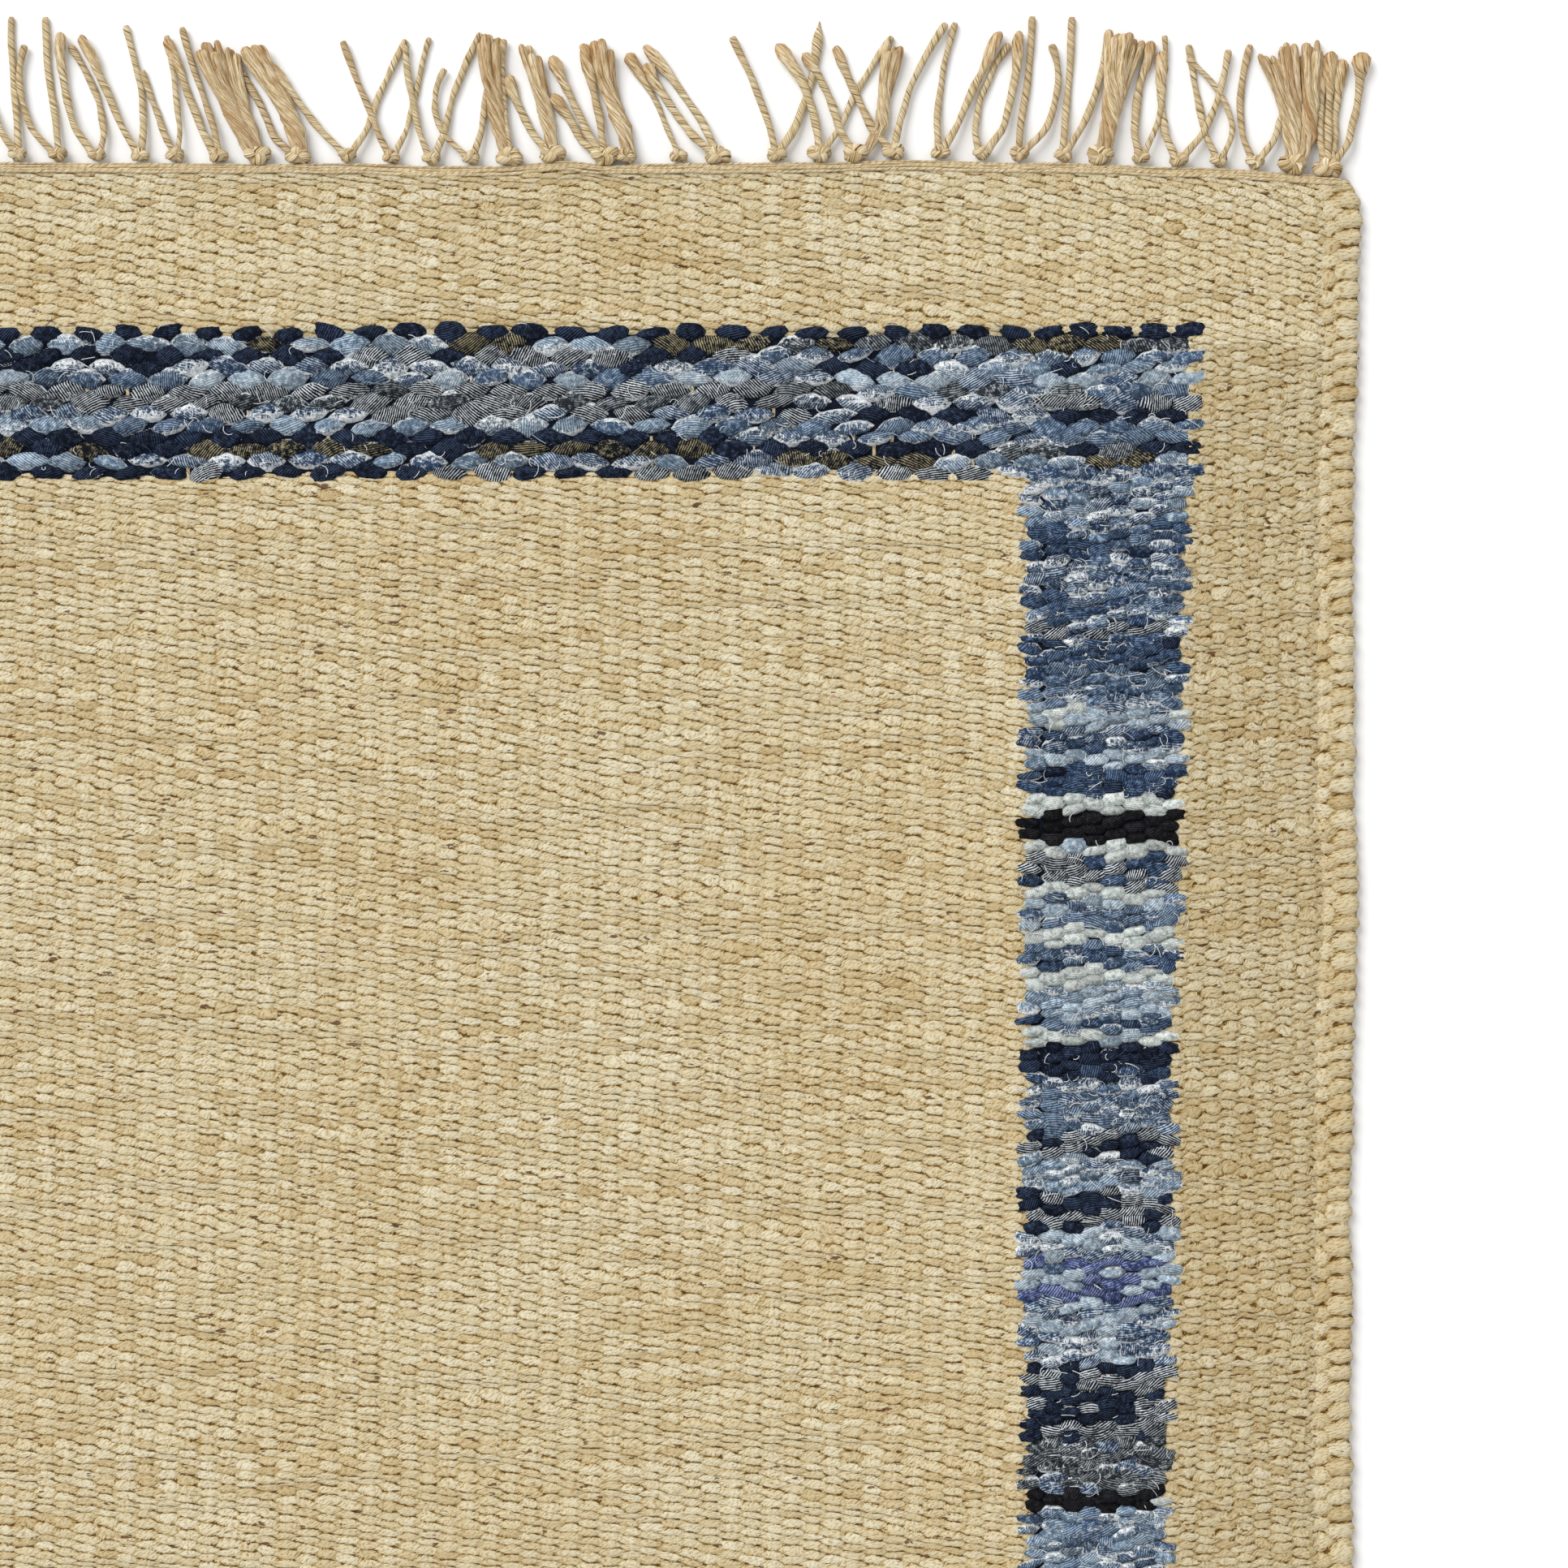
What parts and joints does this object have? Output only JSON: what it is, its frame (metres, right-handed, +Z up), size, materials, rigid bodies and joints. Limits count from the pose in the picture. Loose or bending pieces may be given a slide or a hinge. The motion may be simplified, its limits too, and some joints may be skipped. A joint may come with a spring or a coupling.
{
  "type": "hand-woven jute rug with denim frame and fringe",
  "caption": "Flat rectangular floor rug in weft-faced jute plain weave, with an inset woven denim-rag frame and knotted warp fringes at both ends.",
  "frame": {"origin": "middle of the rug's underside, on the floor", "axes": "+X along the wefts to the right selvedge, +Y along the warps to the far fringe, +Z up through the cloth"},
  "size_m": [1.2126, 1.9538, 0.0096],
  "materials": {
    "jute_weave": "matt hand-spun jute wefts, weft-faced plain weave",
    "jute_cord": "matt two-ply jute cord",
    "denim_rag": "matt cut denim strips in mixed washes with frayed white edges"
  },
  "bodies": {
    "root": {"rug_cloth": "jute_weave", "fringe_far": "jute_cord", "fringe_near": "jute_cord"}
  },
  "joints": []
}
